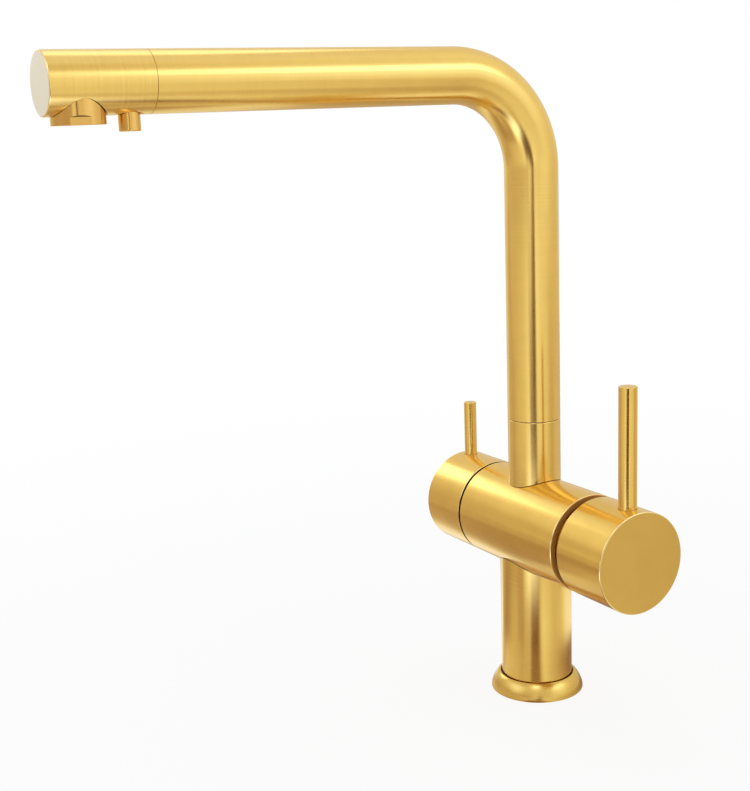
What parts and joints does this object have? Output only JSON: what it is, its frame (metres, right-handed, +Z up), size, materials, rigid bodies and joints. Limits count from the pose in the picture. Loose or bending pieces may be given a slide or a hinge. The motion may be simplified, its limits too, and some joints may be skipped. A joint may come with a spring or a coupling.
{
  "type": "three way filtered water tap",
  "caption": "Worktop kitchen tap with a swivel spout on a horizontal valve barrel: tilting mixer cap and lever at one end, quarter-turn filtered water lever at the other.",
  "frame": {"origin": "middle of the base's underside on the worktop, at the mouth of the fixing stud thread", "axes": "+Z up, spout over the sink along -Y, mixer handle along +X, filtered water handle along -X"},
  "size_m": [0.155, 0.279, 0.346],
  "materials": {
    "brushed_gold": "brushed gold, satin, brushed round the barrel",
    "cap_gold": "brushed gold, satin, brushed round the cap",
    "column_gold": "brushed gold with sharp upright reflections",
    "tube_gold": "brushed gold, brushed round the tube",
    "head_gold": "brushed gold, brushed round the head",
    "dome_gold": "gold, semi polished",
    "lever_gold": "polished gold",
    "outlet_gold": "satin gold",
    "polished_gold": "polished gold",
    "plain_brass": "bare machined brass",
    "steel": "bare steel",
    "black_rubber": "matt",
    "dark_plastic": "matt",
    "white_plastic": "matt",
    "pale_plastic": "matt",
    "white_ceramic": "lapped ceramic"
  },
  "bodies": {
    "tap_body": {"base_flange": "polished_gold", "base_gasket": "black_rubber", "body_column": "column_gold", "valve_barrel": "brushed_gold", "spout_collar": "column_gold", "swivel_spigot": "plain_brass", "spout_o_rings": "black_rubber", "slip_washer": "dark_plastic", "filter_tube_seal": "black_rubber", "cartridge_base": "white_plastic", "cartridge_port_seals": "black_rubber", "fixed_ceramic_disc": "white_ceramic", "cartridge_housing": "white_plastic", "cartridge_nut": "plain_brass", "mixer_dome": "dome_gold", "filter_valve_seal": "black_rubber", "filter_valve_body": "plain_brass", "filter_fixed_disc": "white_ceramic"},
    "spout": {"spout_tube": "tube_gold", "spout_socket": "plain_brass", "spout_grub_screw": "steel", "spout_head": "head_gold", "filter_water_tube": "white_plastic", "aerator_housing": "outlet_gold", "aerator_insert": "pale_plastic", "aerator_washer": "black_rubber", "filter_nozzle": "outlet_gold", "nozzle_insert": "pale_plastic"},
    "turret": {"mixer_turret": "dark_plastic", "spindle_pin": "steel"},
    "mixing_disc": {"mixing_ceramic_disc": "white_ceramic", "disc_carrier": "dark_plastic"},
    "mixer_handle": {"mixer_spindle": "steel", "mixer_cap": "cap_gold", "mixer_lever": "lever_gold", "mixer_grub_screw": "steel"},
    "filter_handle": {"filter_cap": "cap_gold", "filter_lever": "lever_gold", "filter_grub_screw": "steel", "filter_turning_disc": "white_ceramic", "filter_spindle": "plain_brass"}
  },
  "joints": [
    {"name": "spout_swivel", "type": "hinge", "parent": "tap_body", "child": "spout", "pos_m": [0, 0, 0.1531], "axis": [0, 0, 1], "range_deg": [-180, 180]},
    {"name": "mixer_turn", "type": "hinge", "parent": "tap_body", "child": "turret", "pos_m": [0.03757, 0, 0.0945], "axis": [1, 0, 0], "range_deg": [-45, 45]},
    {"name": "mixer_tilt", "type": "hinge", "parent": "turret", "child": "mixer_handle", "pos_m": [0.03757, 0, 0.0945], "axis": [0, 1, 0], "range_deg": [0, 25]},
    {"name": "mixing_disc_slide", "type": "slide", "parent": "turret", "child": "mixing_disc", "axis": [0, 0, 1], "range_m": [0, 0.00503]},
    {"name": "filter_turn", "type": "hinge", "parent": "tap_body", "child": "filter_handle", "pos_m": [-0.059, 0, 0.0945], "axis": [1, 0, 0], "range_deg": [0, 90]}
  ],
  "couplings": [
    {"joint": "mixing_disc_slide", "follows": "mixer_tilt", "m_per_rad": 0.0115}
  ]
}
